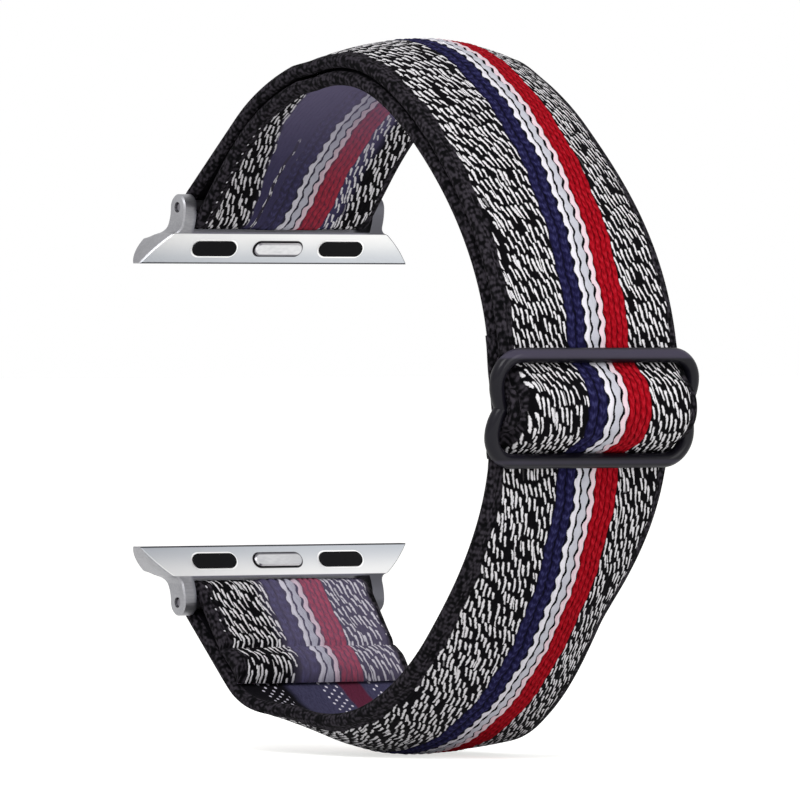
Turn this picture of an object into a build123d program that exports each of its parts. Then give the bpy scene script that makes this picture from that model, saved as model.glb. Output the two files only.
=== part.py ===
from build123d import *
from math import asin, atan2, ceil, cos, degrees, radians, sin, sqrt
import os

# Adjustable woven watch strap, in the shape that it takes on an arm.
# The origin is on the arm's axis. +X points from the watch to the slider,
# +Y runs along the arm and +Z points to the upper connector. Lengths are in millimetres.

# Tape
tape_width = 20.0
tape_thickness = 1.35
layer_gap = 0.3                # between two layers of tape that lie on each other
sewn_flap_length = 11.0        # from the lower bar to the hem

# Loop that the tape makes round the arm
bar_reach = 24.0               # from the arm's axis to the line through both bars
bar_spacing = 38.0             # between the two spring bars
slider_reach = 26.5            # from the arm's axis to the tape at the slider
slider_bend_radius = 33.6      # the band's bend on both sides of the slider
upper_slider_turn = 63.3       # degrees from the slider to the upper shoulder
upper_shoulder_radius = 16.8
upper_shoulder_share = 0.664   # of the turn to the bar, seen from the shoulder's centre
upper_crown_share = 0.21       # of the last bend, the rest of which is flat up to the bar
lower_slider_turn = 30.0       # degrees from the slider to the lower shoulder
lower_shoulder_radius = 31.0
lower_shoulder_share = 0.48
lower_crown_share = 0.62
layer_lead = 0.4               # room in which two layers spread to pass round a bar
slider_travel = 7.5            # along the band, each way

# Crown: where the tape bends freely, its edges fall towards the arm. Turns are in degrees
# from the slider.
upper_fall = 1.5               # of the edges below the middle
upper_fall_start = 12.0
upper_fall_full = 50.0
lower_fall = 2.6
lower_fall_start = 8.0
lower_fall_full = 44.0
fall_ebb = 22.0                # the fall grows less over this turn before the flat part
station_turn = 8.0             # at most this far from one drawn section to the next

# Spring bars
barrel_radius = 0.70
barrel_wall = 0.20
barrel_side_gap = 0.3          # from the barrel's end to the ear
bar_fit = 0.05                 # the tape lies this far from the barrel
tip_fit = 0.05                 # radial, for a tip in the barrel
hole_fit = 0.06                # radial, for a tip in an ear
tip_stem = 2.0                 # length that a tip keeps inside the barrel
tip_left_out = 0.2             # a tip pressed home still stands out of the barrel by this
tip_recess = 0.2               # a tip stops this far inside the ear's outer face
tip_chamfer = 0.12

# Slider
wire_radius = 0.70
wire_side_count = 16           # round the wire, which is drawn with narrow flats
bar_pitch = 4.9                # from the centre bar to each outer bar, up the band
slider_side_gap = 0.5          # from the tape's edge to the wire
notch_turn = 40.0              # degrees that a side turns in past its widest point
thread_gap = 0.05              # the tape passes a wire or itself at this distance
edge_gather = 0.6              # the tape draws in by this at each edge between the wires

# Connectors
ear_side_gap = 0.2             # between the tape's edge and an ear
ear_thickness = 1.4
ear_radius = 1.28
foot_run_out = 3.9             # an end of the foot stands out past its ear by this
connector_depth = 5.4          # from the bar's axis to the end that meets the watch
shoulder_depth = 2.5           # from the bar's axis to the body's shoulder
foot_front = 0.74              # from the bar's plane to the foot of the front face
foot_thickness = 1.26
wing_reach = 3.9               # from the bar's plane to the wing's edge
wing_depth = 2.94              # from the bar's axis down to the wing's edge
wing_swell = 0.25
front_lip = 0.56               # the front face's top edge stands out by this much
ear_root_radius = 0.8
end_swell = 0.15
edge_break = 0.15              # chamfer along the connector's outer edges
cradle_gap = 0.35              # between the turned tape and the connector
pad_length = 5.0
pad_height = 1.55
pad_inset = 2.7                # from the tape's edge to the middle of a pad
pad_seat_depth = 0.6
pad_stand = 0.15               # a pad stands out of the face by this much
pad_fit = 0.03
button_length = 5.6
button_height = 1.5
button_thickness = 1.0
button_stand = 0.3
button_fit = 0.08
button_travel = 0.6
button_edge_break = 0.15
lock_spring_solid = 0.7        # the spring's length with the button pressed home
spring_clearance = 0.05

# One overrun for every cut
overrun = 1.0

# Angles in degrees
right_angle = 90
half_turn = 180
full_turn = 360

# Places worked out from the sizes above
slider_bend_centre = Vector(slider_reach - slider_bend_radius, 0)
upper_bar = Vector(-bar_reach, bar_spacing / 2)
lower_bar = Vector(-bar_reach, -bar_spacing / 2)
bar_wrap_radius = barrel_radius + bar_fit
outer_layer = tape_thickness + layer_gap
under_wire = tape_thickness + thread_gap + wire_radius
ring_inside = wire_radius + thread_gap
ring_outside = ring_inside + tape_thickness
bight_inside = ring_outside + thread_gap
button_seat = button_thickness - button_stand
lock_pocket_depth = button_seat + button_travel + lock_spring_solid
half_tape = tape_width / 2
pad_place = half_tape - pad_inset


# Path of the tape, seen from the near side of the arm

def right_of(heading):
    """The unit vector to the right of a heading in degrees."""
    return Vector(sin(radians(heading)), -cos(radians(heading)))


class Bend:
    """A round stretch of the tape's path. A turn of 1 goes left and -1 goes right."""

    def __init__(self, centre, radius, turn, start, end):
        self.centre = centre
        self.radius = radius
        self.turn = turn
        self.start = start
        self.end = end

    def point(self, heading, offset):
        """The point that is offset to the right of the path at a heading."""
        return self.centre + right_of(heading) * (self.turn * self.radius + offset)


def ease(value, low, high):
    """0 at low, 1 at high and a smooth rise between them."""
    share = min(1, max(0, (value - low) / (high - low)))
    return share * share * (3 - 2 * share)


def joining_heading(centre_1, radius_1, turn_1, centre_2, radius_2, turn_2):
    """The heading of the straight stretch that touches two bends one after the other."""
    way = centre_2 - centre_1
    lean = asin((turn_1 * radius_1 - turn_2 * radius_2) / way.length)
    return degrees(atan2(way.Y, way.X) + lean) % full_turn


def face_edge(bends, offset):
    """The edges of one face of the tape, in order."""
    edges = []
    last = None
    for bend in bends:
        first = bend.point(bend.start, offset)
        if last is not None and (first - last).length > tape_thickness / tape_width:
            edges.append(Line(last, first))
        elif last is not None:
            first = last
        middle = bend.point((bend.start + bend.end) / 2, offset)
        last = bend.point(bend.end, offset)
        edges.append(ThreePointArc(first, middle, last))
    return edges


def tape_along(bends, inside, outside, half_width=half_tape):
    """A length of tape between two offsets of its path."""
    inner = face_edge(bends, inside)
    outer = face_edge(bends, outside)
    start = Line(inner[0] @ 0, outer[0] @ 0)
    end = Line(inner[-1] @ 1, outer[-1] @ 1)
    outline = make_face(Wire(inner + [end] + outer + [start]).edges())
    return extrude(Plane.XZ * outline, amount=half_width, both=True)


# Bends of the loop

def turn_towards(way, side):
    """The turn in degrees from the slider's direction to another, on one side."""
    return side * degrees(atan2(way.Y, way.X)) % full_turn


class Half:
    """One half of the loop, from the slider to its bar, with its three bend circles."""

    def __init__(self, bar, side, slider_turn, shoulder_radius, shoulder_share, crown_share, stand_off,
                 fall, fall_start, fall_full):
        self.fall = fall
        self.fall_start = fall_start
        self.fall_full = fall_full
        self.slider_end = side * slider_turn
        from_slider = Vector(cos(radians(self.slider_end)), sin(radians(self.slider_end)))
        self.shoulder_centre = slider_bend_centre + from_slider * (slider_bend_radius - shoulder_radius)
        self.shoulder_radius = shoulder_radius
        to_bar = bar - self.shoulder_centre
        shoulder_turn = shoulder_share * turn_towards(to_bar, side)
        self.shoulder_end = side * shoulder_turn
        # The last bend touches the shoulder and passes the bar at the stand-off
        out = Vector(cos(radians(self.shoulder_end)), sin(radians(self.shoulder_end)))
        along = to_bar.dot(out)
        top = stand_off ** 2 - to_bar.length ** 2 + 2 * shoulder_radius * along - shoulder_radius ** 2
        self.last_radius = top / (2 * (along - shoulder_radius - stand_off))
        self.last_centre = self.shoulder_centre - out * (self.last_radius - shoulder_radius)
        last_turn = turn_towards(bar - self.last_centre, side) - shoulder_turn
        self.crown_end = shoulder_turn + crown_share * last_turn


upper = Half(upper_bar, 1, upper_slider_turn, upper_shoulder_radius,
             upper_shoulder_share, upper_crown_share, tape_thickness + bar_wrap_radius + layer_lead,
             upper_fall, upper_fall_start, upper_fall_full)
lower = Half(lower_bar, -1, lower_slider_turn, lower_shoulder_radius,
             lower_shoulder_share, lower_crown_share, bar_wrap_radius + layer_lead - layer_gap,
             lower_fall, lower_fall_start, lower_fall_full)


def fall_at(outward):
    """How far the tape's edges lie below its middle where its outside faces this way."""
    turn = degrees(atan2(outward.Y, outward.X))
    half = upper if turn > 0 else lower
    turn = abs(turn)
    rise = ease(turn, half.fall_start, half.fall_full)
    return half.fall * rise * (1 - ease(turn, half.crown_end - fall_ebb, half.crown_end))


def crowned_section(bend, heading, inside, outside):
    """The tape's section at a heading: two parabolas and the edges between them."""
    outward = right_of(heading) * bend.turn
    fall = fall_at(outward)
    # A tape that is bent across keeps its width along the curve
    edge = half_tape - fall ** 2 / half_tape * 2 / 3

    def face(offset):
        middle = bend.point(heading, offset)
        low = middle - outward * fall
        high = middle + outward * fall
        return Bezier((low.X, -edge, low.Y), (high.X, 0, high.Y), (low.X, edge, low.Y))

    inner = face(inside)
    outer = face(outside)
    near = Line(inner @ 0, outer @ 0)
    far = Line(inner @ 1, outer @ 1)
    return Face(Wire([inner, far, outer, near]))


def crowned_tape(bends, inside=0, outside=tape_thickness):
    """A length of tape whose edges fall as they do where it bends freely."""
    sections = []
    for bend in bends:
        steps = ceil(abs(bend.end - bend.start) / station_turn)
        for step in range(1 if sections else 0, steps + 1):
            heading = bend.start + (bend.end - bend.start) * step / steps
            sections.append(crowned_section(bend, heading, inside, outside))
    return loft(sections, ruled=True)


def joined(*lengths):
    """One solid of lengths of tape that meet end to end, without the two faces at each meeting."""
    faces = [face for length in lengths for face in length.faces()]
    meeting = [
        one for one in faces for other in faces
        if other is not one and (other.center() - one.center()).length < layer_gap / 2
        and abs(other.area - one.area) < layer_gap ** 2]
    return Solid(Shell([face for face in faces if face not in meeting]))


# Bars of the slider, which lie on the band

low_turn = degrees(asin(bar_pitch / (slider_bend_radius + under_wire)))
high_turn = degrees(asin(bar_pitch / (slider_bend_radius + outer_layer + under_wire)))


def on_slider_bend(turn, height):
    """A point at a height above the band's inner face, a turn from the slider's middle."""
    reach = slider_bend_radius + height
    return slider_bend_centre + Vector(reach * cos(radians(turn)), reach * sin(radians(turn)))


low_wire = on_slider_bend(-low_turn, under_wire)
high_wire = on_slider_bend(high_turn, outer_layer + under_wire)
centre_wire = (low_wire + high_wire) * 0.5
wire_way = high_wire - low_wire
wire_pitch = wire_way.length / 2

# The stretches beside the slider give way as it moves along the band
stretch_margin = tape_thickness
stretch_turn = degrees((bar_pitch + wire_radius + slider_travel + stretch_margin) / slider_bend_radius)
# At the end of its travel the sewn end stops a layer's gap short of the inner layer
tail_turn = stretch_turn - degrees((slider_travel + layer_gap) / slider_bend_radius)


# Tape

def strap_lower_run():
    """The sewn flap, the turn round the lower bar and the single layer along the bottom."""
    centre = lower.last_centre
    radius = lower.last_radius
    flap_radius = radius - layer_gap
    arrive = joining_heading(centre, flap_radius, -1, lower_bar, bar_wrap_radius, 1)
    leave = joining_heading(lower_bar, bar_wrap_radius, 1, centre, radius, 1)
    free = sqrt((lower_bar - centre).length ** 2 - (flap_radius + bar_wrap_radius) ** 2)
    flap_turn = degrees((sewn_flap_length - free) / flap_radius)
    shoulder_end = full_turn + right_angle + lower.shoulder_end
    slider_end = full_turn + right_angle + lower.slider_end
    crown_end = full_turn + right_angle - lower.crown_end
    stretch_end = full_turn + right_angle - stretch_turn
    flat = [
        Bend(centre, flap_radius, -1, arrive + flap_turn, arrive),
        Bend(lower_bar, bar_wrap_radius, 1, arrive, leave),
        Bend(centre, radius, 1, leave, crown_end),
    ]
    crowned = [
        Bend(centre, radius, 1, crown_end, shoulder_end),
        Bend(lower.shoulder_centre, lower.shoulder_radius, 1, shoulder_end, slider_end),
        Bend(slider_bend_centre, slider_bend_radius, 1, slider_end, stretch_end),
    ]
    return joined(tape_along(flat, 0, tape_thickness), crowned_tape(crowned))


def strap_lower_stretch():
    """The single layer just below the slider."""
    bend = Bend(slider_bend_centre, slider_bend_radius, 1,
                right_angle - stretch_turn, right_angle - low_turn)
    return crowned_tape([bend])


def strap_slider_bight():
    """The tape that passes under the low wire, over the centre wire and under the high wire."""
    rise = joining_heading(low_wire, under_wire, -1, centre_wire, bight_inside, 1)
    fall = joining_heading(centre_wire, bight_inside, 1, high_wire, under_wire, -1)
    bends = [
        Bend(low_wire, under_wire, -1, right_angle - low_turn, rise),
        Bend(centre_wire, bight_inside, 1, rise, fall),
        Bend(high_wire, under_wire, -1, fall, right_angle + high_turn),
    ]
    return tape_along(bends, 0, tape_thickness, half_tape - edge_gather)


def strap_outer_stretch():
    """The outer layer just above the slider."""
    radius = slider_bend_radius + outer_layer
    bend = Bend(slider_bend_centre, radius, 1, right_angle + high_turn, right_angle + stretch_turn)
    return crowned_tape([bend])


def strap_upper_run():
    """The outer layer, the turn round the upper bar and the inner layer back."""
    centre = upper.last_centre
    out_radius = upper.last_radius + outer_layer
    in_radius = upper.last_radius + tape_thickness
    arrive = joining_heading(centre, out_radius, 1, upper_bar, bar_wrap_radius, 1)
    leave = joining_heading(upper_bar, bar_wrap_radius, 1, centre, in_radius, -1)
    slider_end = right_angle + upper.slider_end
    shoulder_end = right_angle + upper.shoulder_end
    crown_end = right_angle + upper.crown_end
    outer_layer_bends = [
        Bend(slider_bend_centre, slider_bend_radius + outer_layer, 1,
             right_angle + stretch_turn, slider_end),
        Bend(upper.shoulder_centre, upper.shoulder_radius + outer_layer, 1, slider_end, shoulder_end),
        Bend(centre, out_radius, 1, shoulder_end, crown_end),
    ]
    flat = [
        Bend(centre, out_radius, 1, crown_end, arrive),
        Bend(upper_bar, bar_wrap_radius, 1, arrive, leave + full_turn),
        Bend(centre, in_radius, -1, leave, crown_end - half_turn),
    ]
    inner_layer_bends = [
        Bend(centre, in_radius, -1, crown_end - half_turn, shoulder_end - half_turn),
        Bend(upper.shoulder_centre, upper.shoulder_radius + tape_thickness, -1,
             shoulder_end - half_turn, slider_end - half_turn),
        Bend(slider_bend_centre, slider_bend_radius + tape_thickness, -1,
             slider_end - half_turn, stretch_turn - right_angle),
    ]
    outer = crowned_tape(outer_layer_bends)
    inner = crowned_tape(inner_layer_bends)
    return joined(outer, tape_along(flat, 0, tape_thickness), inner)


def strap_inner_stretch():
    """The inner layer just above the slider."""
    radius = slider_bend_radius + tape_thickness
    bend = Bend(slider_bend_centre, radius, -1, stretch_turn - right_angle, tail_turn - right_angle)
    return crowned_tape([bend])


def strap_sewn_end():
    """The inner layer's end, sewn into a loop round the slider's centre wire."""
    radius = slider_bend_radius + tape_thickness
    leave = joining_heading(slider_bend_centre, radius, -1, centre_wire, ring_inside, 1)
    bends = [
        Bend(slider_bend_centre, radius, -1, tail_turn - right_angle, leave - full_turn),
        Bend(centre_wire, ring_inside, 1, leave - full_turn, 0),
    ]
    ring = Circle(ring_outside) - Circle(ring_inside)
    loop = extrude(Plane.XZ * Pos(centre_wire.X, centre_wire.Y) * ring, amount=half_tape, both=True)
    return tape_along(bends, 0, tape_thickness) + loop


# Slider

def slider():
    """Two windows of round wire, drawn in at each side where the centre wire meets them."""
    half = wire_pitch / 2
    widest = half_tape + slider_side_gap + wire_radius
    notch_radius = half / sin(radians(notch_turn))
    corner = widest - half
    notch = widest - notch_radius
    past = notch_turn + degrees(wire_radius / notch_radius)
    way = Vector(wire_way.X, 0, wire_way.Y).normalized()
    middle = Vector(centre_wire.X, 0, centre_wire.Y)
    face = Plane(origin=middle, x_dir=(0, 1, 0), z_dir=(way.Z, 0, -way.X))
    window = Wire([
        CenterArc((notch, half), notch_radius, -past, past),
        CenterArc((corner, half), half, 0, right_angle),
        Line((corner, wire_pitch), (-corner, wire_pitch)),
        CenterArc((-corner, half), half, right_angle, right_angle),
        CenterArc((-notch, half), notch_radius, half_turn, past),
    ])
    path = face * window
    round_wire = RegularPolygon(wire_radius, wire_side_count)
    section = Plane(origin=path @ 0, x_dir=face.z_dir, z_dir=path % 0) * round_wire
    # The two windows meet in a mitre on the centre wire's plane
    mitre = Plane(origin=middle, z_dir=way)
    high = split(sweep(section, path=path), bisect_by=mitre, keep=Keep.TOP)
    low = mirror(high, about=mitre)
    end = notch + notch_radius * cos(radians(notch_turn))
    across = Plane(origin=middle, x_dir=face.z_dir, z_dir=(0, 1, 0))
    return high + low + extrude(across * round_wire, amount=end, both=True)


# Connectors, each drawn with its bar's axis at the origin and the watch below it

tip_radius = barrel_radius - barrel_wall - tip_fit
ear_inside = half_tape + ear_side_gap
ear_outside = ear_inside + ear_thickness
foot_end = ear_outside + foot_run_out
barrel_end = ear_inside - barrel_side_gap
tip_end = ear_outside - tip_recess
tip_travel = tip_end - barrel_end - tip_left_out
face_way = Vector(front_lip + foot_front, 0, connector_depth - shoulder_depth).normalized()
front_face = Plane(
    origin=((front_lip - foot_front) / 2, 0, -(connector_depth + shoulder_depth) / 2),
    x_dir=(0, 1, 0), z_dir=(face_way.Z, 0, -face_way.X))


def connector_profile():
    """The connector seen from its end, from the foot of the front face round to the heel."""
    foot = Vector(-foot_front, -connector_depth)
    lip = Vector(front_lip, -shoulder_depth)
    heel = foot - Vector(foot_thickness, 0)
    wing = Vector(-wing_reach, -wing_depth)
    across = (heel - wing).normalized()
    swell = (wing + heel) * 0.5 + Vector(across.Y, -across.X) * wing_swell
    return make_face([
        Line(foot, lip),
        TangentArc((ear_radius, 0), lip, tangent=(0, -1)),
        ThreePointArc((ear_radius, 0), (0, ear_radius), (-ear_radius, 0)),
        TangentArc((-ear_radius, 0), wing, tangent=(0, -1)),
        ThreePointArc(wing, swell, heel),
        Line(heel, foot),
    ])


def connector_outline():
    """The connector seen from the front: two ears on shoulders that run out to the foot."""
    root = Vector(ear_outside + ear_root_radius, ear_root_radius - shoulder_depth)
    shoulder = Vector(root.X, -shoulder_depth)
    tip = Vector(foot_end, -connector_depth)
    across = (tip - shoulder).normalized()
    swell = (shoulder + tip) * 0.5 + Vector(-across.Y, across.X) * end_swell
    top = ear_radius + overrun
    half = make_face([
        Line((0, top), (ear_outside, top)),
        Line((ear_outside, top), (ear_outside, root.Y)),
        CenterArc(root, ear_root_radius, half_turn, right_angle),
        ThreePointArc(shoulder, swell, tip),
        Line(tip, (0, -connector_depth)),
        Line((0, -connector_depth), (0, top)),
    ])
    return half + mirror(half, about=Plane.YZ)


def along_bar(radius, length):
    """A cylinder on the bar's axis."""
    return Rot(90, 0, 0) * Cylinder(radius, length)


def in_face(shape, bottom, top):
    """A shape drawn on the front face, between two depths below that face."""
    return extrude(front_face.offset(-bottom) * shape, amount=bottom - top)


def connector_body():
    """The metal body with its ears, its bar holes and the pockets in its front face."""
    body = extrude(Plane.XZ * connector_profile(), amount=foot_end, both=True)
    body = body & extrude(Plane.YZ * connector_outline(), amount=wing_reach + overrun, both=True)
    beyond_ears = body.edges().filter_by(lambda edge: abs(edge.center().Y) > ear_inside)
    body = chamfer(beyond_ears, edge_break)
    body = body - along_bar(bar_wrap_radius + tape_thickness + cradle_gap, 2 * ear_inside)
    body = body - along_bar(tip_radius + hole_fit, 2 * (ear_outside + overrun))
    for side in (-1, 1):
        pad = Pos(side * pad_place, 0) * SlotOverall(pad_length, pad_height)
        body = body - in_face(pad, pad_seat_depth, -overrun)
    return body - in_face(SlotOverall(button_length, button_height), lock_pocket_depth, -overrun)


def connector_pad(side):
    """A soft pad pressed into its pocket."""
    shape = Pos(side * pad_place, 0) * SlotOverall(pad_length - 2 * pad_fit, pad_height - 2 * pad_fit)
    return in_face(shape, pad_seat_depth, -pad_stand)


def lock_button():
    """The sprung button between the pads, with a bevelled edge."""
    shape = SlotOverall(button_length - 2 * button_fit, button_height - 2 * button_fit)
    button = in_face(shape, button_seat, -button_stand)
    outer = button.faces().sort_by(Axis(front_face.origin, front_face.z_dir))[-1]
    return chamfer(outer.edges(), button_edge_break)


def lock_spring():
    """The spring behind the button."""
    outside = button_height / 2 - button_fit - spring_clearance
    ring = Circle(outside) - Circle(outside / 2)
    return in_face(ring, lock_pocket_depth, button_seat)


def bar_barrel():
    """The tube of the spring bar."""
    return along_bar(barrel_radius, 2 * barrel_end) - along_bar(
        barrel_radius - barrel_wall, 2 * (barrel_end + overrun))


def bar_tip(side):
    """A spring bar's tip, from inside the barrel to the ear."""
    start = barrel_end - tip_stem
    tip = Pos(0, side * (start + tip_end) / 2, 0) * along_bar(tip_radius, tip_end - start)
    nose = tip.edges().sort_by(Axis.Y)[-1 if side > 0 else 0]
    return chamfer(nose, tip_chamfer)


def bar_spring():
    """The spring between the two tips."""
    length = 2 * (barrel_end - tip_stem)
    return along_bar(tip_radius, length) - along_bar(tip_radius / 2, length + overrun)


# Assembly

def at_bar(shape, end):
    """A connector's piece in its place, at the upper or the lower bar."""
    placed = Pos(upper_bar.X, 0, upper_bar.Y) * shape
    return placed if end == "upper" else mirror(placed, about=Plane.XY)


pieces = {
    "strap_lower_run": strap_lower_run(),
    "strap_lower_stretch": strap_lower_stretch(),
    "strap_slider_bight": strap_slider_bight(),
    "strap_outer_stretch": strap_outer_stretch(),
    "strap_upper_run": strap_upper_run(),
    "strap_inner_stretch": strap_inner_stretch(),
    "strap_sewn_end": strap_sewn_end(),
    "slider": slider(),
}
for end in ("upper", "lower"):
    pieces[end + "_connector_body"] = at_bar(connector_body(), end)
    pieces[end + "_pad_near"] = at_bar(connector_pad(-1), end)
    pieces[end + "_pad_far"] = at_bar(connector_pad(1), end)
    pieces[end + "_lock_button"] = at_bar(lock_button(), end)
    pieces[end + "_lock_spring"] = at_bar(lock_spring(), end)
    pieces[end + "_bar_barrel"] = at_bar(bar_barrel(), end)
    pieces[end + "_bar_tip_near"] = at_bar(bar_tip(-1), end)
    pieces[end + "_bar_tip_far"] = at_bar(bar_tip(1), end)
    pieces[end + "_bar_spring"] = at_bar(bar_spring(), end)

os.makedirs("parts", exist_ok=True)
for name, solid in pieces.items():
    export_step(solid, "parts/" + name + ".step")
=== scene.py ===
from math import asin, atan2, cos, degrees, exp, pi, radians, sin, sqrt

import bmesh
import bpy
from mathutils import Matrix, Vector


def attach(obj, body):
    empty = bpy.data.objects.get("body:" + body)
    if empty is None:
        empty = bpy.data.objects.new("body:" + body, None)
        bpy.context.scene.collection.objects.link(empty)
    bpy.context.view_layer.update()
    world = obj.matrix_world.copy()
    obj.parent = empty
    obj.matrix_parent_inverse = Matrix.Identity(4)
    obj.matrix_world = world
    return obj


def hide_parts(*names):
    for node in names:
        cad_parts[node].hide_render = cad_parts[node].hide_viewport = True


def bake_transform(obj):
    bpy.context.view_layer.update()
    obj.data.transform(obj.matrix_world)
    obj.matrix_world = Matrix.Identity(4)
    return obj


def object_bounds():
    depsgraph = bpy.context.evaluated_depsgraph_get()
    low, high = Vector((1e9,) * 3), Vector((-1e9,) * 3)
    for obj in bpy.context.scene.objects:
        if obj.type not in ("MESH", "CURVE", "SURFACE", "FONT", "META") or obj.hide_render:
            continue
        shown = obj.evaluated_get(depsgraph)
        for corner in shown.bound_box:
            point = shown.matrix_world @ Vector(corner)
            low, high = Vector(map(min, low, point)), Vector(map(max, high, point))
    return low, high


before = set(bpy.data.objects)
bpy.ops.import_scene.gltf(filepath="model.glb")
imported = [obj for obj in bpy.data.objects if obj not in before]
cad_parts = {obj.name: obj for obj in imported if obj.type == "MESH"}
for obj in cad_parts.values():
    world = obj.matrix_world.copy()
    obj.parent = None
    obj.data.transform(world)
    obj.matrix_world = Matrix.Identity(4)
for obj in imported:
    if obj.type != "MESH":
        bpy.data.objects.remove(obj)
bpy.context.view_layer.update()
mm = 0.001


# Tape: one length of elastic webbing, 20 mm wide, knitted in wales that run along it. It is
# folded round the lower connector's bar and sewn, goes round the arm and through the slider,
# turns round the upper connector's bar and comes back inside itself to the middle wire.

tape_width = 20.0
tape_thickness = 1.35
mean_offset = tape_thickness / 2
shortest_straight = mean_offset / 10
layer_gap = 0.3
layer_lead = 0.4
thread_gap = 0.05
outer_layer = tape_thickness + layer_gap
flap_length = 11.0
loop_end = 240.0

# The two bars, and the bend on which the slider's wires lie
upper_bar = Vector((-24.0, 0, 19.0))
lower_bar = Vector((-24.0, 0, -19.0))
bar_radius = 0.75
slider_bend_radius = 33.6
slider_bend_centre = Vector((26.5 - slider_bend_radius, 0, 0))
wire_radius = 0.70
wire_rise = 4.9
under_wire = tape_thickness + thread_gap + wire_radius
ring_inside = wire_radius + thread_gap
bight_inside = ring_inside + tape_thickness + thread_gap
low_reach = slider_bend_radius + under_wire
high_reach = slider_bend_radius + outer_layer + under_wire
low_wire = slider_bend_centre + Vector((sqrt(low_reach ** 2 - wire_rise ** 2), 0, -wire_rise))
high_wire = slider_bend_centre + Vector((sqrt(high_reach ** 2 - wire_rise ** 2), 0, wire_rise))
middle_wire = (low_wire + high_wire) / 2
low_turn = degrees(asin(wire_rise / low_reach))
high_turn = degrees(asin(wire_rise / high_reach))
tail_length = wire_rise + wire_radius + tape_thickness - layer_gap
tail_turn = degrees(tail_length / slider_bend_radius)


def rightward(heading):
    """The direction to the right of a heading in degrees, seen from the near side."""
    return Vector((sin(radians(heading)), 0, -cos(radians(heading))))


def joining_heading(centre, reach, next_centre, next_reach):
    """The heading of the straight stretch between two bends. A reach is the bend's radius,
    with a minus where it turns right."""
    way = next_centre - centre
    lean = asin((reach - next_reach) / way.length)
    return degrees(atan2(way.z, way.x) + lean) % 360


def half_loop(bar, side, slider_turn, shoulder_radius, shoulder_share, stand_off):
    """The two bends between the slider's bend and a bar: the shoulder's centre, the turn at
    which it meets the last bend, and that one's centre and radius. The last bend touches the
    shoulder and passes the bar at the stand-off."""
    out = rightward(90 + side * slider_turn)
    shoulder = slider_bend_centre + out * (slider_bend_radius - shoulder_radius)
    to_bar = bar - shoulder
    meeting = shoulder_share * (side * degrees(atan2(to_bar.z, to_bar.x)) % 360)
    out = rightward(90 + side * meeting)
    along = to_bar.dot(out)
    top = stand_off ** 2 - to_bar.length_squared + 2 * shoulder_radius * along
    radius = (top - shoulder_radius ** 2) / (2 * (along - shoulder_radius - stand_off))
    return shoulder, meeting, shoulder - out * (radius - shoulder_radius), radius


# Each bend below is its centre, its radius, 1 for left or -1 for right, and the headings in
# degrees between which it turns. The tape lies to the right of this line.

def lower_bends():
    """From the hem round the lower bar, and up to the slider's low wire."""
    slider_turn = 30.0
    shoulder_radius = 31.0
    shoulder_share = 0.48
    stand_off = bar_radius + layer_lead - layer_gap
    shoulder, meeting, centre, radius = half_loop(
        lower_bar, -1, slider_turn, shoulder_radius, shoulder_share, stand_off)
    flap_radius = radius - layer_gap
    arrive = joining_heading(centre, -flap_radius, lower_bar, bar_radius)
    leave = joining_heading(lower_bar, bar_radius, centre, radius)
    free = sqrt((lower_bar - centre).length_squared - (flap_radius + bar_radius) ** 2)
    flap_turn = degrees((flap_length - free) / flap_radius)
    upright = 360 + 90
    return [
        (centre, flap_radius, -1, arrive + flap_turn, arrive),
        (lower_bar, bar_radius, 1, arrive, leave),
        (centre, radius, 1, leave, upright - meeting),
        (shoulder, shoulder_radius, 1, upright - meeting, upright - slider_turn),
        (slider_bend_centre, slider_bend_radius, 1, upright - slider_turn, upright - low_turn),
    ]


def bight_bends():
    """Under the low wire, over the middle wire and under the high wire."""
    rise = joining_heading(low_wire, -under_wire, middle_wire, bight_inside)
    fall = joining_heading(middle_wire, bight_inside, high_wire, -under_wire)
    return [
        (low_wire, under_wire, -1, 90 - low_turn, rise),
        (middle_wire, bight_inside, 1, rise, fall),
        (high_wire, under_wire, -1, fall, 90 + high_turn),
    ]


def upper_bends():
    """The outer layer, the turn round the upper bar and the inner layer back."""
    slider_turn = 63.3
    shoulder_radius = 16.8
    shoulder_share = 0.664
    stand_off = tape_thickness + bar_radius + layer_lead
    shoulder, meeting, centre, radius = half_loop(
        upper_bar, 1, slider_turn, shoulder_radius, shoulder_share, stand_off)
    inner = tape_thickness
    arrive = joining_heading(centre, radius + outer_layer, upper_bar, bar_radius)
    leave = joining_heading(upper_bar, bar_radius, centre, -(radius + inner))
    return [
        (slider_bend_centre, slider_bend_radius + outer_layer, 1, 90 + high_turn, 90 + slider_turn),
        (shoulder, shoulder_radius + outer_layer, 1, 90 + slider_turn, 90 + meeting),
        (centre, radius + outer_layer, 1, 90 + meeting, arrive),
        (upper_bar, bar_radius, 1, arrive, leave + 360),
        (centre, radius + inner, -1, leave, meeting - 90),
        (shoulder, shoulder_radius + inner, -1, meeting - 90, slider_turn - 90),
        (slider_bend_centre, slider_bend_radius + inner, -1, slider_turn - 90, tail_turn - 90),
    ]


def sewn_bends():
    """The end of the inner layer, sewn into a loop round the middle wire."""
    radius = slider_bend_radius + tape_thickness
    leave = joining_heading(slider_bend_centre, -radius, middle_wire, ring_inside) - 360
    return [
        (slider_bend_centre, radius, -1, tail_turn - 90, leave),
        (middle_wire, ring_inside, 1, leave, loop_end),
    ]


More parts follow.
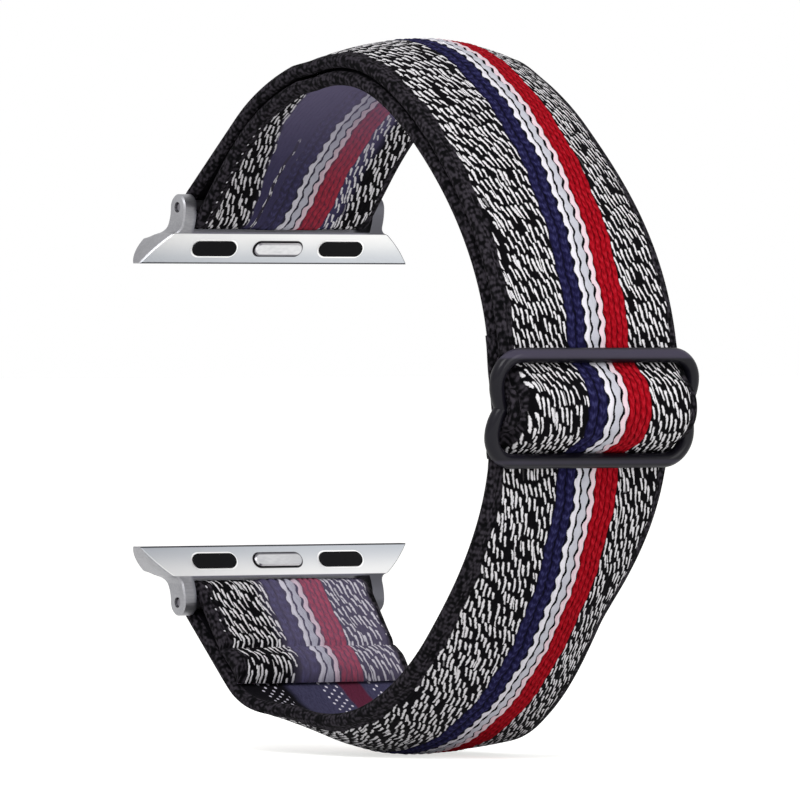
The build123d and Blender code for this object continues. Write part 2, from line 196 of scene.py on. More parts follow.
class Course:
    """The line that a length of tape follows, measured along the middle of its thickness."""

    def __init__(self, bends):
        self.legs = []
        self.length = 0.0
        last = None
        for centre, radius, turn, start, end in bends:
            first = centre + rightward(start) * turn * radius
            if last is not None and (first - last).length > shortest_straight:
                self.add((first - last).length, (last, first, rightward(start)))
            mean_radius = abs(turn * radius + mean_offset)
            length = radians(abs(end - start)) * mean_radius
            self.add(length, (centre, radius, turn, start, mean_radius))
            last = centre + rightward(end) * turn * radius

    def add(self, length, facts):
        """Adds a leg: three facts make it a straight one and five a bend."""
        self.legs.append((self.length, length, facts))
        self.length += length

    def at(self, distance):
        """The point on the tape's back face at a distance, and the way its front faces."""
        for begin, length, facts in self.legs:
            if distance <= begin + length or (begin, length, facts) == self.legs[-1]:
                break
        travelled = distance - begin
        if len(facts) == 3:
            first, second, right = facts
            return first.lerp(second, travelled / length), right
        centre, radius, turn, start, mean_radius = facts
        right = rightward(start + turn * degrees(travelled / mean_radius))
        return centre + right * turn * radius, right


def ease(value, low, high):
    """0 at low, 1 at high and a smooth rise between them."""
    share = min(1.0, max(0.0, (value - low) / (high - low)))
    return share * share * (3 - 2 * share)


# Where each stripe begins across the tape, from the near edge, and where the last one ends
first_melange = 0.75
navy = 7.2
zigzag = 9.4
beads = 10.06
pink_zigzag = 11.22
crimson = 11.95
last_melange = 14.6
last_selvedge = 19.7

# The size of each stripe's wales and stitches, and how high its yarn stands
melange_wale = 0.56
melange_stitch = 1.6
slant = 0.25
navy_wale = 1.1
crimson_wale = 0.66
braid_stitch = 1.5
bead_length = 1.58
selvedge_stitch = 0.9
selvedge_ribs = 7
yarn_height = 0.2
melange_height = yarn_height * 0.5
ribbon_height = yarn_height * 1.2
selvedge_height = yarn_height * 0.4


def wander(along, across, sine=sin):
    """How far the wales stray sideways, because no two stitches are pulled alike."""
    return 0.10 * sine(0.83 * along) + 0.06 * sine(2.1 * along + 0.31 * across)


def yarn_relief(along, across):
    """The height of the yarn over the ground of the front face."""
    across = across + wander(along, across)
    if first_melange <= across < navy or last_melange <= across < last_selvedge:
        side = (across / melange_wale) % 1 - 0.5
        return melange_height * (1 - (2 * side) ** 2)
    if navy <= across < zigzag or crimson <= across < last_melange:
        start, width = (navy, navy_wale) if across < zigzag else (crimson, crimson_wale)
        side = abs(((across - start) / width) % 1 - 0.5) * 2
        leg = 0.5 + 0.5 * cos(2 * pi * (along / braid_stitch + 0.5 * side))
        return yarn_height * (1 - side ** 3) * (0.55 + 0.45 * leg)
    if zigzag <= across < crimson:
        swell = 0.8 + 0.2 * cos(2 * pi * along / bead_length)
        if across < beads:
            middle, half = (zigzag + beads) / 2, (beads - zigzag) / 2
        elif across < pink_zigzag:
            middle, half = (beads + pink_zigzag) / 2, (pink_zigzag - beads) / 2 * swell
        else:
            middle, half = (pink_zigzag + crimson) / 2, (crimson - pink_zigzag) / 2
        return ribbon_height * sqrt(max(0, 1 - ((across - middle) / half) ** 2)) * swell
    loop = 0.5 + 0.5 * sin(2 * pi * along / selvedge_stitch)
    return selvedge_height * loop * (0.5 + 0.5 * sin(selvedge_ribs * across))


# In the slider the tape is wider, and its pressed lengths more so. Away from it, between these
# turns in degrees, the tape comes back to its own width.
slider_width = 20.2
pressed_out = 0.15
width_returns = (7, 13)

# Each edge falls towards the arm in steps: how deep, 1 above the slider or -1 below it, and
# the turns in degrees between which the step is taken. Near the bars the tape is flat again.
near_falls = ((1.5, 1, 12, 50), (2.6, -1, 8, 44))
far_falls = ((2.2, 1, 8, 50), (-0.6, 1, 64, 86), (2.95, -1, 4, 42), (-2.2, -1, 38, 80))
falls_end = (102, 129)
bars_begin = -18

# Where curled, an edge bends back from this share of the half width, the far one less, and
# the curl rises from both ends of its length
curl_from = 0.86
far_curl = 0.4
curl_rise = 1.7


def fall_at(place, outward, far):
    """How far an edge lies below the middle, where the tape bends freely round the arm."""
    if place.x < bars_begin:
        return 0.0
    turn = degrees(atan2(outward.z, outward.x))
    steps = far_falls if far else near_falls
    fall = sum(depth * ease(side * turn, begin, end) for depth, side, begin, end in steps)
    return fall * (1 - ease(abs(turn), *falls_end))


def half_width(place, fall):
    """Half the tape's width. The tape keeps its width along the curve, so an edge that falls
    also draws in."""
    from_slider = abs(degrees(atan2(place.z, place.x)))
    width = slider_width + (tape_width - slider_width) * ease(from_slider, *width_returns)
    return width / 2 - fall ** 2 * 2 / 3 / (tape_width / 2)


# The way round the tape: 0 to 1 across the front, then an edge, back across the back from
# back_start to back_end, and the other edge
edge_way = 0.1
edge_middle = 1 + edge_way / 2
back_start = 1 + edge_way
back_end = back_start + 1
edge_steps = 8


def section_at(way, thick, half):
    """A point of the tape's section: across, as a share of the half width, and its height."""
    if way <= 1:
        return 2 * way - 1, thick
    if way < back_start:
        turn = (way - 1) / edge_way * pi
        return 1 + sin(turn) * thick / 2 / half, thick / 2 + cos(turn) * thick / 2
    if way <= back_end:
        return 1 - 2 * (way - back_start), 0
    turn = (way - back_end) / edge_way * pi
    return -1 - sin(turn) * thick / 2 / half, thick / 2 - cos(turn) * thick / 2


def woven_grid(mesh, length, start, step, front, back):
    """Adds a grid to the mesh, with its UV map, and gives each corner's distance along the
    length and its way round the tape."""
    uv = mesh.loops.layers.uv.new("weave")
    around = front + back + 2 * edge_steps
    rows = max(8, round(length / step))
    bmesh.ops.create_grid(mesh, x_segments=rows, y_segments=around, size=0.5)
    ways = [i / front for i in range(front + 1)]
    ways += [1 + edge_way * (i + 1) / edge_steps for i in range(edge_steps)]
    ways += [back_start + (i + 1) / back for i in range(back)]
    ways += [back_end + edge_way * (i + 1) / edge_steps for i in range(edge_steps)]
    spots = {}
    for vert in mesh.verts:
        spots[vert] = ((vert.co.x + 0.5) * length, ways[round((vert.co.y + 0.5) * around)])
    for face in mesh.faces:
        for loop in face.loops:
            along, way = spots[loop.vert]
            loop[uv].uv = (start + along, way)
    return spots


def knit_tape(name, bends, start, step=0.34, front=124, back=60, hem=None, pressed=False, curl=0.0):
    """A length of tape on its course, and the distance at which it ends. Its UV map holds the
    distance along the whole tape and the way round it."""
    course = Course(bends)
    mesh = bmesh.new()
    spots = woven_grid(mesh, course.length, start, step, front, back)
    for vert, (along, way) in spots.items():
        place, out = course.at(along)
        side = 1 if out.dot(place) > 0 else -1
        far = 0.5 < way < back_start + 0.5
        fall = 0.0 if pressed else fall_at(place, out * side, far)
        half = half_width(place, fall) + (pressed_out if pressed else 0.0)
        thick = hem(along) if hem else tape_thickness
        across, height = section_at(way, thick, half)
        if way <= 1:
            yarn = yarn_relief(start + along, way * tape_width) - yarn_height / 2
            height += yarn * ease(1 - abs(across), 0, 0.04)
        height -= side * fall * min(1, abs(across)) ** 2
        curled = curl * min(1, curl_rise * sin(pi * along / course.length))
        near_curl = ease(-across, curl_from, 1.0)
        height -= curled * (near_curl + far_curl * ease(across, curl_from, 1.0))
        vert.co = (place + out * height + Vector((0, across * (half - thick / 2), 0))) * mm
    bmesh.ops.remove_doubles(mesh, verts=mesh.verts, dist=1e-7)
    rims = [rim for rim in mesh.edges if rim.is_boundary]
    bmesh.ops.holes_fill(mesh, edges=rims, sides=0)
    bmesh.ops.recalc_face_normals(mesh, faces=mesh.faces)
    return make_piece(name, mesh), start + course.length


def make_piece(name, mesh, smooth=True):
    """An object of the finished mesh, at the origin."""
    data = bpy.data.meshes.new(name)
    mesh.to_mesh(data)
    mesh.free()
    if smooth:
        data.shade_smooth()
    piece = bpy.data.objects.new(name, data)
    bpy.context.scene.collection.objects.link(piece)
    return piece


class Value:
    """A number or colour on its way through a finish, for maths written as it is said."""

    def __init__(self, finish, socket):
        self.finish = finish
        self.socket = socket

    def output(self, which):
        """Another output of the same node."""
        return Value(self.finish, self.socket.node.outputs[which])

    def maths(self, operation, *others):
        return self.finish.add("Math", dict(enumerate((self,) + others)), operation=operation)

    def __add__(self, other):
        return self.maths("ADD", other)

    __radd__ = __add__

    def __sub__(self, other):
        return self.maths("SUBTRACT", other)

    def __rsub__(self, other):
        return (self * -1).maths("ADD", other)

    def __mul__(self, other):
        return self.maths("MULTIPLY", other)

    __rmul__ = __mul__

    def __truediv__(self, other):
        return self.maths("DIVIDE", other)

    def past_whole(self):
        """How far this lies past the last whole number."""
        return self - self.maths("FLOOR")

    def ramp(self, low, high):
        """0 below low, 1 above high and smooth between them."""
        sockets = {0: self, 1: low, 2: high}
        return self.finish.add("MapRange", sockets, interpolation_type="SMOOTHSTEP")

    def within(self, low, high, soft=0.02):
        """1 between low and high, and 0 outside them."""
        return self.ramp(low - soft, low + soft) * (1 - self.ramp(high - soft, high + soft))

    def mix(self, first, second):
        """The first colour where this is 0 and the second where it is 1."""
        return self.finish.add("Mix", {0: self, 6: first, 7: second}, out=2, data_type="RGBA")


class Finish:
    """A material or a world under construction, and the one way that nodes are added to it."""

    def __init__(self, name, world=False, **constants):
        self.block = (bpy.data.worlds if world else bpy.data.materials).new(name)
        self.block.use_nodes = True
        self.tree = self.block.node_tree
        self.shader = self.tree.nodes["Background" if world else "Principled BSDF"]
        self.surface(**constants)

    def add(self, kind, sockets=None, out=0, **settings):
        """Adds a node, feeds its sockets by name or number and gives one of its outputs."""
        node = self.tree.nodes.new("ShaderNode" + kind)
        for setting, value in settings.items():
            setattr(node, setting, value)
        for socket, value in (sockets or {}).items():
            self.feed(node.inputs[socket], value)
        return Value(self, node.outputs[out])

    def feed(self, socket, value):
        if isinstance(value, Value):
            self.tree.links.new(value.socket, socket)
        else:
            socket.default_value = value

    def surface(self, **sockets):
        """Feeds the shader itself and gives the material or world."""
        for socket, value in sockets.items():
            self.feed(self.shader.inputs[socket.replace("_", " ")], value)
        return self.block


def colour(red, green, blue):
    """A colour from the three numbers of a paint chart, 0 to 255, as light adds them up."""
    def linear(share):
        return share / 12.92 if share <= 0.04045 else ((share + 0.055) / 1.055) ** 2.4

    return [linear(part / 255) for part in (red, green, blue)] + [1]


# Distances along the tape: where the upper bar's turn ends, where the white yarn draws back to
# the near edge, a thin white line and its end, and the white stitches of the two folds
upper_turn_end = 174.0
white_draws_back = (176.0, 204.0)
white_reach = 5.3
white_draw = 4.4
thin_line = (5.9, 6.3)
thin_line_end = (188.0, 189.0)
fold_stitches = ((177.0, 191.0), (5.8, 11.5))
fold_stitch = 1.3
fold_stitch_inset = 0.16

# Where the ribbons of yarn lie across the tape, how far they swing and their half width
zigzag_middle = 9.77
zigzag_swing = -0.13
zigzag_half = 0.29
bead_middle = 10.63
bead_half = 0.36
bead_swell = 0.12
pink_middle = 11.50
pink_swing = 0.10
pink_half = 0.25
pink_lead = 0.9

# The back's stitches, and how softly the front, the edges and the back change over
back_wale = 0.62
back_stitch = 1.15
hair = 0.002


class Webbing(Finish):
    """The tape's yarns: their colours and stitches, laid out by the same sizes as the relief."""

    def __init__(self):
        super().__init__("striped webbing", Roughness=0.92, Specular_IOR_Level=0.06)
        self.along = self.add("SeparateXYZ", {0: self.add("UVMap", uv_map="weave")})
        way = self.along.output(1)
        self.back_side = way.ramp(edge_middle - 5 * hair, edge_middle + 5 * hair)
        first_edge = way.within(1 + hair, back_start - hair, 2 * hair)
        self.edge_side = first_edge + way.ramp(back_end - hair, back_end + hair)
        flat = way * tape_width
        turned = (back_end - way) * tape_width
        self.true_across = flat + (turned - flat) * self.back_side
        drift = wander(self.along, self.true_across, lambda angle: angle.maths("SINE"))
        self.across = self.true_across + drift
        place = self.add("CombineXYZ", {
            0: self.along, 1: self.true_across * 1.6, 2: self.back_side})
        self.fuzz = self.add("TexNoise", {
            "Vector": place, "Scale": 2.6, "Detail": 3.0, "Roughness": 0.6})
        self.strand = self.add("TexNoise", {
            "Vector": place, "Scale": 9.0, "Detail": 2.0, "Roughness": 0.7})
        self.loops = self.add("TexVoronoi", {"Vector": place, "Scale": 2.1}, feature="SMOOTH_F1")
        self.rim = 1 - self.across.within(first_melange, last_selvedge, 0.04)
        self.upper_inside = self.along.ramp(upper_turn_end - 0.5, upper_turn_end + 0.5)
        self.last_white = white_reach - self.along.ramp(*white_draws_back) * white_draw

    def stitches(self, shift, fewest, radius):
        """Slim slanted stitches of white yarn, one after another in each wale. The dice give
        each one its place and length, and a throw below the fewest leaves it out."""
        lane = (self.across + (self.fuzz - 0.5) * 0.34) / melange_wale + shift
        wale = lane.maths("FLOOR")
        side = (lane - wale - 0.5) * melange_wale
        # A large multiple of a sine starts each wale's stitches at a place of its own
        phase = (wale * 12.9898 + shift * 3.1).maths("SINE") * 43.7585
        stretch = (self.along * 0.62 + wale * 2.4).maths("SINE") * 0.3
        stitch = self.along / melange_stitch + phase + stretch
        count = stitch.maths("FLOOR")
        cell = self.add("CombineXYZ", {0: wale, 1: count, 2: shift})
        dice = self.add("SeparateXYZ", {0: self.add("TexWhiteNoise", {"Vector": cell}, out=1)})
        past = (stitch - count - 0.5) * melange_stitch + (dice.output(1) - 0.5) * 0.35
        side = side + past * slant + (dice.output(2) - 0.5) * 0.08
        over = (past.maths("ABSOLUTE") - 0.3 - dice * 0.4).maths("MAXIMUM", 0)
        reach = (side * side + over * over * 0.4).maths("SQRT") + (self.strand - 0.5) * 0.1
        shows = dice.output(2).ramp(fewest, fewest + 0.02)
        return (1 - reach.ramp(radius - 0.035, radius + 0.035)) * shows

    def melange(self):
        """White flecks on black. Inside the upper half the white stays near the edge, but for
        one thin line of it, and the ground is navy there. Gives the flecks and the colour."""
        plain = (self.across - self.last_white).ramp(-0.1, 0.1) * self.upper_inside
        line = self.across.within(*thin_line) * (1 - self.along.ramp(*thin_line_end))
        plain = plain * (1 - line)
        fleck = self.stitches(0.0, 0.05, 0.112).maths("MAXIMUM", self.stitches(0.5, 0.9, 0.07))
        fleck = fleck * (1 - plain * (1 - self.across.ramp(navy, navy + 0.1)))
        black = self.fuzz.mix(colour(2, 2, 3), colour(13, 11, 16))
        dark_navy = self.fuzz.mix(colour(30, 28, 62), colour(48, 46, 88))
        ground = (plain * 0.9 * (1 - self.across.ramp(15.2, 17.0))).mix(black, dark_navy)
        white = self.strand.mix(colour(222, 220, 228), colour(255, 252, 252))
        return fleck, fleck.mix(ground, white)

    def braid(self, start, width, pitch, dark, middle, light):
        """Braided wales with painted light and shade: stitches paler at their crests, each wale
        darker at its sides, and dashes of single yarns painted as highlights.
        """
        drawn = self.add("CombineXYZ", {
            0: self.along * 0.8 + self.across * 0.5, 1: self.across * 2.6, 2: 4.0})
        dash = self.add("TexNoise", {
            "Vector": drawn, "Scale": 2.2, "Detail": 2.0, "Roughness": 0.6})
        wales = (self.across - start) / width
        aside = (wales.past_whole() - 0.5).maths("ABSOLUTE") * 2
        turn = self.along / pitch - aside * 0.5 + wales.maths("FLOOR") * 0.5
        turn = turn + (self.fuzz - 0.5) * 0.9
        # Painted highlight: the stitches are paler at their crests, and the dashes of single yarns
        # bright
        lit = (turn * (2 * pi)).maths("COSINE") * 0.16 + 0.2 + dash * 0.9
        # Painted shade: each wale is darker towards its sides, where it dips between wales
        lit = lit - aside.maths("POWER", 4.0) * 0.5
        return lit.ramp(0.55, 1.0).mix(lit.ramp(0.15, 0.6).mix(dark, middle), light)

    def ribbon(self, middle, half):
        """1 on a ribbon of yarn with a rough edge, and 0 beside it."""
        rough = (self.strand - 0.5) * 0.14
        return 1 - ((self.across - middle).maths("ABSOLUTE") - half + rough).ramp(-0.03, 0.03)

    def pale_stripes(self, swing):
        """Zigzag, beads and pink zigzag, with black between them."""
        sway = ((self.along / bead_length) * (2 * pi) + pink_lead).maths("COSINE")
        silver = self.strand.mix(colour(190, 190, 202), colour(222, 222, 231))
        white_yarn = self.ribbon(swing * zigzag_swing + zigzag_middle, zigzag_half)
        bead_yarn = self.ribbon(bead_middle, swing * bead_swell + bead_half)
        pink_yarn = self.ribbon(sway * pink_swing + pink_middle, pink_half)
        pale = white_yarn.mix(colour(6, 5, 9), colour(243, 240, 248))
        return pink_yarn.mix(bead_yarn.mix(pale, silver), colour(244, 218, 227))

    def selvedge(self):
        """Rows of small dark loops, painted paler at their crests as a highlight."""
        rib = (self.along * (2 * pi / 0.55)).maths("SINE") * 0.5 + 0.5
        looped = (self.loops + self.strand * 0.4 - rib * 0.15).ramp(0.25, 0.75)
        # Painted highlight: the colour is paler at the loops' crests, where looped is low
        return looped.mix(colour(60, 56, 63), colour(5, 5, 7))

    def front(self, melange, selvedge):
        """The stripes side by side, the selvedges, and a row of white stitches at each fold."""
        swing = ((self.along / bead_length) * (2 * pi)).maths("COSINE")
        waver = swing * 0.07
        blue = self.braid(
            navy, navy_wale, 0.85, colour(8, 7, 24), colour(27, 25, 62), colour(60, 60, 106))
        red = self.braid(
            crimson, crimson_wale, 0.9, colour(86, 0, 8), colour(164, 8, 25), colour(196, 32, 48))
        front = (self.across + waver).ramp(navy - 0.03, navy + 0.03).mix(melange, blue)
        pale_side = (self.across + waver).ramp(zigzag - 0.03, zigzag + 0.03)
        front = pale_side.mix(front, self.pale_stripes(swing))
        front = (self.across - waver).ramp(crimson - 0.12, crimson - 0.06).mix(front, red)
        front = self.across.ramp(last_melange - 0.03, last_melange + 0.03).mix(front, melange)
        front = self.rim.mix(front, selvedge)
        at_fold = self.along.within(*fold_stitches[0]) + self.along.within(*fold_stitches[1])
        tick = ((self.along / fold_stitch).past_whole() - 0.5) * fold_stitch
        inset = self.true_across - fold_stitch_inset
        from_tick = (tick * tick + inset * inset).maths("SQRT")
        ticks = (1 - from_tick.ramp(0.10, 0.15)) * at_fold * (1 - self.back_side)
        return ticks.mix(front, colour(236, 234, 240))

    def back(self):
        """Dark floats, lilac and red in the middle, and pale dots where white shows through."""
        wale = (self.across / back_wale).maths("FLOOR")
        side = self.across / back_wale - wale - 0.5
        past = (self.along / back_stitch + wale * 0.5).past_whole() - 0.5
        dots = (side * side) / 0.07 + (past * past) / 0.035 + self.fuzz * 0.6
        shows = self.across.within(zigzag, crimson)
        shows = shows + self.across.within(2.0, 4.6) + self.across.within(15.4, 16.9)
        lilac = self.fuzz.mix(colour(48, 46, 70), colour(84, 82, 112))
        back = self.fuzz.mix(colour(4, 4, 6), colour(20, 18, 24))
        back = self.across.within(5.5, 19.0, 0.6).mix(back, lilac)
        back = self.across.within(crimson, last_melange, 0.2).mix(back, colour(96, 40, 62))
        return ((1 - dots.ramp(0.8, 1.3)) * shows).mix(back, colour(226, 222, 236))

    def bloom(self):
        """How strong the lilac bloom is, on the middle stripes of the front inside the loop."""
        across = self.across
        upper = self.upper_inside * (self.along.ramp(180.0, 200.0) * 0.46 + 0.14)
        upper = upper * (1 - across.ramp(15.0, 17.0)) * (across - self.last_white).ramp(-0.6, 0.3)
        lower = (1 - self.along.ramp(13.0, 14.0)) * across.ramp(5.6, 8.0) * 0.36
        bloom = (upper + lower) * across.within(first_melange, last_selvedge, 0.3)
        return bloom * (1 - self.back_side) * (1 - self.edge_side)

    def finished(self):
        """The material, with all of its colours and its fine relief."""
        fleck, melange = self.melange()
        selvedge = self.selvedge()
        skin = self.back_side.mix(self.front(melange, selvedge), self.back())
        skin = self.edge_side.mix(skin, selvedge)
        skin = self.bloom().mix(skin, colour(142, 133, 166))
        height = self.strand + fleck * 0.8 - self.loops * self.rim
        relief = self.add("Bump", {"Strength": 0.7, "Distance": 0.00012, "Height": height})
        return self.surface(Base_Color=skin, Normal=relief)


def hem_thickness(along):
    """The end of the tape is turned under, rolled and sewn down along one seam."""
    roll_length = 1.3
    thinnest = 0.12

    def swell(height, middle, spread):
        return height * exp(-((along - middle) / spread) ** 2)

    roll = sqrt(max(0.0, 1 - (1 - min(1, along / roll_length)) ** 2))
    puff = swell(0.45, 2.1, 1.1)
    seam = swell(0.55, 4.1, 0.28)
    return max(thinnest, (tape_thickness + puff - seam) * roll)


webbing = Webbing().finished()
tape_lower, reached = knit_tape("tape_lower", lower_bends(), 0.0, hem=hem_thickness)
tape_bight, reached = knit_tape(
    "tape_bight", bight_bends(), reached, step=0.2, pressed=True, curl=1.5)
tape_upper, reached = knit_tape("tape_upper", upper_bends(), reached, step=0.36, back=30)
tape_sewn_end, reached = knit_tape(
    "tape_sewn_end", sewn_bends(), reached, step=0.2, back=30, pressed=True)
for piece in (tape_lower, tape_bight, tape_upper, tape_sewn_end):
    piece.data.materials.append(webbing)
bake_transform(tape_lower)
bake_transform(tape_upper)
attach(tape_bight, "slider")
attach(tape_sewn_end, "slider")
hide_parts("strap_lower_run", "strap_lower_stretch")
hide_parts("strap_slider_bight")
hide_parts("strap_outer_stretch", "strap_upper_run", "strap_inner_stretch")
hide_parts("strap_sewn_end")


# Slider: two windows of round metal wire side by side, drawn in at each side where the
# middle wire meets them, and lacquered a satin blue-black.

wire_sides = 32
window_pitch = (high_wire - low_wire).length / 2
widest = 11.0
notch_turn = 40.0


def sweep_quarter(wire, start, legs, corner):
    """A quarter of the slider's frame: a ring of wire swept round the notch and the corner,
    and straight on to the middle of its bar."""
    bmesh.ops.create_circle(wire, radius=wire_radius, segments=wire_sides)
    upright = Matrix.Rotation(radians(90), 4, "X")
    leaning = Matrix.Rotation(radians(-notch_turn), 4, "Z") @ upright
    bmesh.ops.transform(wire, matrix=Matrix.Translation(start) @ leaning, verts=wire.verts)
    ring = list(wire.verts) + list(wire.edges)
    for centre, turn, steps in legs:
        swept = bmesh.ops.spin(
            wire, geom=ring, cent=centre, axis=(0, 0, 1), angle=radians(turn), steps=steps)
        ring = swept["geom_last"]
    edges = [part for part in ring if isinstance(part, bmesh.types.BMEdge)]
    run = bmesh.ops.extrude_edge_only(wire, edges=edges)
    moved = [part for part in run["geom"] if isinstance(part, bmesh.types.BMVert)]
    bmesh.ops.translate(wire, verts=moved, vec=(-corner.x, 0, 0))


def bend_slider():
    """The slider: a quarter of its frame and that one's mirrors, with the middle wire across."""
    half = window_pitch / 2
    notch_radius = half / sin(radians(notch_turn))
    notch_centre = Vector((widest - notch_radius, half, 0))
    corner = Vector((widest - half, half, 0))
    start = Vector((notch_centre.x + notch_radius * cos(radians(notch_turn)), 0, 0))
    wire = bmesh.new()
    sweep_quarter(wire, start, ((notch_centre, notch_turn, 12), (corner, 90, 24)), corner)
    for axis in ("X", "Y"):
        whole = wire.verts[:] + wire.edges[:] + wire.faces[:]
        bmesh.ops.mirror(wire, geom=whole, axis=axis, merge_dist=1e-4)
    bar = bmesh.ops.create_cone(
        wire, cap_ends=True, segments=wire_sides, radius1=wire_radius, radius2=wire_radius,
        depth=2 * start.x)
    bmesh.ops.rotate(wire, verts=bar["verts"], matrix=Matrix.Rotation(radians(90), 3, "Y"))
    rise = (high_wire - low_wire).normalized()
    across = Vector((0, 1, 0))
    stand = Matrix((across, rise, across.cross(rise))).transposed().to_4x4()
    place = Matrix.Translation(middle_wire) @ stand
    bmesh.ops.transform(wire, matrix=Matrix.Scale(mm, 4) @ place, verts=wire.verts)
    bmesh.ops.recalc_face_normals(wire, faces=wire.faces)
    return make_piece("slider_wire", wire)


def lacquer_finish():
    """Satin lacquer with a faint orange-peel, and painted highlights on the upper and the lower
    bar.
    """
    coat = Finish("blue-black lacquer", Coat_Roughness=0.12, Specular_IOR_Level=0.12)
    place = coat.add("TexCoord", out=3)
    peel = coat.add("TexNoise", {"Vector": place, "Scale": 900.0, "Detail": 3.0})
    cloud = coat.add("TexNoise", {"Vector": place, "Scale": 160.0, "Detail": 2.0})
    paint = cloud.mix(colour(12, 11, 18), colour(20, 18, 28))
    level = coat.add("SeparateXYZ", {0: place}).output(2) / mm
    # Heights in mm of the bands painted as highlights on the upper and the lower bar
    upper_highlight_band = (4.62, 5.42)
    lower_highlight_band = (-5.2, -4.86)
    painted_highlight = level.within(*upper_highlight_band, 0.16) + level.within(*lower_highlight_band, 0.14) * 0.5
    # Painted highlight: the bars are paler in these bands
    paint = (painted_highlight * 0.8).mix(paint, colour(66, 61, 79))
    relief = coat.add("Bump", {"Strength": 0.12, "Distance": 0.00004, "Height": peel})
    return coat.surface(
        Base_Color=paint, Roughness=peel * 0.12 + 0.36, Coat_Weight=cloud * 0.1 + 0.1,
        Normal=relief)


slider_wire = bend_slider()
slider_wire.data.materials.append(lacquer_finish())
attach(slider_wire, "slider")
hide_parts("slider")


# Connectors: one block of steel for each end of the strap, blasted to a satin skin, with two
# ears that hold the spring bar and a front face that slides into the watch.

# The front face rises from its foot to the body's shoulder, here for the upper connector
face_foot = upper_bar - Vector((0.74, 0, 5.4))
face_top = upper_bar + Vector((0.56, 0, -2.5))
face_middle = (face_foot.z + face_top.z) / 2
face_way = (face_top - face_foot).normalized()
face_out = Vector((face_way.z, 0, -face_way.x))
pad_place = 7.3
pad_length = 5.0
pad_height = 1.55
button_length = 5.6
button_height = 1.5


class Steel(Finish):
    """Satin steel: fine blasting, a faint grain along the bar and slightly worn places."""

    def __init__(self, name, dark, light, roughness):
        super().__init__(name, Metallic=1.0)
        place = self.add("TexCoord", out=3)
        stretched = self.add("Mapping", {"Vector": place, "Scale": (1.0, 0.3, 1.0)})
        grain = self.add("TexNoise", {"Vector": stretched, "Scale": 5200.0, "Detail": 2.0})
        blast = self.add("TexNoise", {"Vector": place, "Scale": 9000.0, "Detail": 2.0})
        rub = self.add("TexNoise", {"Vector": place, "Scale": 220.0, "Detail": 3.0})
        self.metal = (rub * 0.6 + grain * 0.4).ramp(0.3, 0.7).mix(dark, light)
        height = blast + grain * 0.5
        relief = self.add("Bump", {"Strength": 0.1, "Distance": 0.00002, "Height": height})
        self.surface(Base_Color=self.metal, Roughness=rub * 0.12 + roughness, Normal=relief)
        parts = self.add("SeparateXYZ", {0: place})
        self.x, self.y = parts / mm, parts.output(1) / mm
        self.z = (parts.output(2) / mm).maths("ABSOLUTE")
        self.level = (self.z - face_middle) / face_out.x

    def from_slot(self, middle, length, height):
        """The distance outside a round-ended slot in the front face."""
        past = ((self.y - middle).maths("ABSOLUTE") - (length - height) / 2).maths("MAXIMUM", 0)
        return (past * past + self.level * self.level).maths("SQRT") - height / 2

    def body(self):
        """The connector's body: a brighter front face, its brightness partly a painted highlight
        that grows paler towards its top, with bright rims round the pads painted as highlights, a
        dark outline round the button and a painted shade line along its foot. Past the near ear the
        rest is painted darker as shade, darkest at the far ear."""
        # Painted shade: past the near ear the body is painted darker, and darker still at the far
        # ear
        metal = self.y.ramp(-10.6, -10.1).mix(self.metal, colour(108, 108, 118))
        metal = self.y.ramp(9.0, 10.4).mix(metal, colour(86, 86, 92))
        # Partly a painted highlight: the front face is painted brighter than the body, paler
        # towards its top
        face = self.level.ramp(-1.6, 1.5).mix(colour(190, 194, 200), colour(232, 232, 232))
        pads = self.from_slot(pad_place, pad_length, pad_height).maths(
            "MINIMUM", self.from_slot(-pad_place, pad_length, pad_height))
        button = self.from_slot(0.0, button_length, button_height)
        # Painted highlight: a bright rim round each pad
        face = (1 - pads.ramp(0.12, 0.2)).mix(face, colour(255, 255, 255))
        face = (1 - button.ramp(0.06, 0.12)).mix(face, colour(60, 58, 62))
        # Painted shade: a dark line along the foot of the front face
        foot_shade_line = 1 - self.z.ramp(face_foot.z + 0.08, face_foot.z + 0.16)
        face = foot_shade_line.mix(face, colour(52, 52, 56))
        depth = (self.x - face_foot.x) * face_out.x + (self.z - face_foot.z) * face_out.z
        on_face = depth.ramp(-0.07, -0.03) * (1 - self.z.ramp(face_top.z - 0.08, face_top.z))
        return self.surface(Base_Color=on_face.mix(metal, face))

    def small_piece(self):
        """A lock button, bar or spring: bright only on the button's face, inside its rim."""
        button = self.from_slot(0.0, button_length, button_height)
        metal = button.ramp(-0.2, -0.08).mix(self.metal, colour(120, 118, 124))
        return self.surface(Base_Color=metal)


def rubber_finish():
    """Black rubber with a fine moulded grain."""
    rubber = Finish("black rubber", Specular_IOR_Level=0.08)
    place = rubber.add("TexCoord", out=3)
    mould = rubber.add("TexNoise", {"Vector": place, "Scale": 3000.0, "Detail": 3.0})
    relief = rubber.add("Bump", {"Strength": 0.2, "Distance": 0.00003, "Height": mould})
    black = mould.mix(colour(10, 10, 12), colour(22, 22, 25))
    return rubber.surface(Base_Color=black, Roughness=mould * 0.2 + 0.5, Normal=relief)


def dress(node, finish):
    """Gives a piece that comes from the frame its finish."""
    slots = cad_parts[node].data.materials
    slots.clear()
    slots.append(finish)


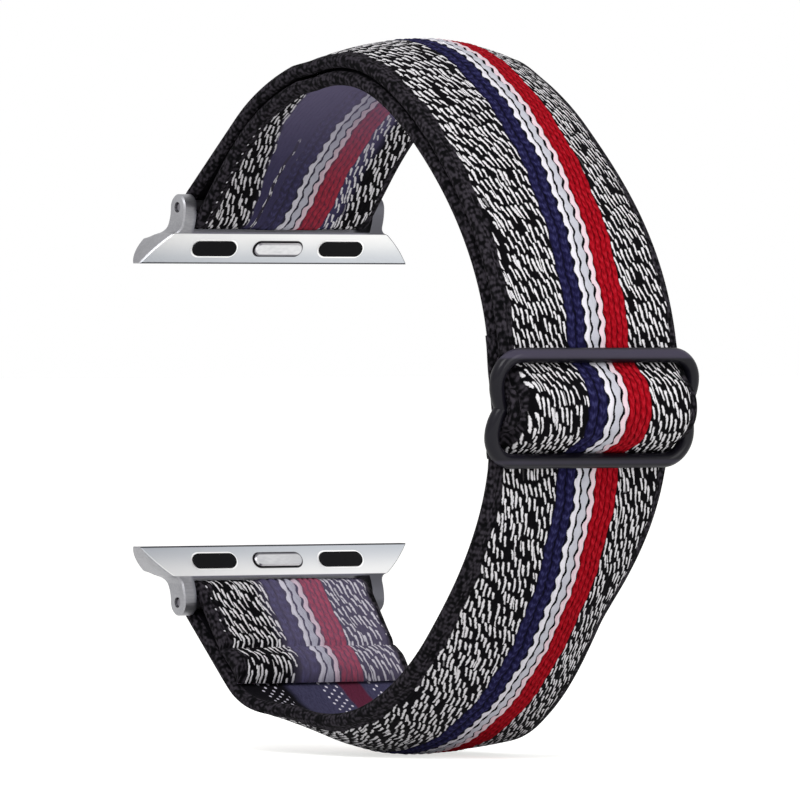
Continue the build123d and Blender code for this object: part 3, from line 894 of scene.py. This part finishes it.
blasted = Steel("blasted steel", colour(138, 138, 142), colour(162, 162, 166), 0.38)
polished = Steel("polished steel", colour(196, 196, 199), colour(216, 216, 218), 0.28)
turned = Steel("turned steel", colour(140, 140, 146), colour(185, 185, 190), 0.3)
body_metal, button_metal, bar_metal = blasted.body(), polished.small_piece(), turned.small_piece()
rubber = rubber_finish()
for end in ("upper", "lower"):
    dress(end + "_connector_body", body_metal)
    dress(end + "_lock_button", button_metal)
    for part in ("bar_barrel", "bar_tip_near", "bar_tip_far", "bar_spring", "lock_spring"):
        dress(end + "_" + part, bar_metal)
    for part in ("pad_near", "pad_far"):
        dress(end + "_" + part, rubber)


# Floor, light and camera: a white table in a white room, seen from low down with a long lens.
# Lamps and the camera are placed in metres.

def looked_at(finish):
    """1 where the camera or a mirror image looks at a thing, 0 where it only gives light."""
    sight = finish.add("LightPath", out="Is Camera Ray")
    return sight.maths("MAXIMUM", sight.output("Is Glossy Ray"))


floor_size = 6.0
floor_gap = 0.05 * mm
low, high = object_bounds()
table = bmesh.new()
bmesh.ops.create_grid(table, x_segments=1, y_segments=1, size=floor_size)
bmesh.ops.translate(table, verts=table.verts, vec=(0, 0, low.z - floor_gap))
floor_piece = make_piece("table", table, smooth=False)
paper = Finish(
    "white paper", Roughness=0.9, Base_Color=(0.86, 0.86, 0.85, 1),
    Emission_Color=(1, 1, 0.98, 1))
floor_piece.data.materials.append(paper.surface(Emission_Strength=looked_at(paper) * 0.66))

room = Finish("white room", world=True, Color=(1, 1, 1, 1))
glow = room.add("MapRange", {"Value": looked_at(room), "To Min": 0.42, "To Max": 1.0})
bpy.context.scene.world = room.surface(Strength=glow)


def softbox(name, place, size, power):
    """A square light that faces the strap."""
    lamp = bpy.data.lights.new(name, "AREA")
    lamp.size = size
    lamp.energy = power
    light = bpy.data.objects.new(name, lamp)
    light.location = place
    light.rotation_euler = (-Vector(place)).to_track_quat("-Z", "Y").to_euler()
    bpy.context.scene.collection.objects.link(light)


softbox("key light", (0.35, -0.45, 0.5), 0.35, 3.2)
softbox("side light", (0.6, 0.15, 0.1), 0.3, 1.0)

azimuth, elevation = radians(56.1), radians(0.4)
distance = 1.04
aim_right = -1.6 * mm
aim_up = 0.57 * mm
away = Vector((sin(azimuth) * cos(elevation), -cos(azimuth) * cos(elevation), sin(elevation)))
level_right = Vector((cos(azimuth), sin(azimuth), 0))
lens = bpy.data.cameras.new("camera")
lens.sensor_width = 36.0
lens.lens = 493.0
lens.clip_end = 100.0
camera = bpy.data.objects.new("camera", lens)
camera.location = level_right * aim_right + away.cross(level_right) * aim_up + away * distance
camera.rotation_euler = away.to_track_quat("Z", "Y").to_euler()
bpy.context.scene.collection.objects.link(camera)
bpy.context.scene.camera = camera
bpy.context.scene.view_settings.view_transform = "Standard"
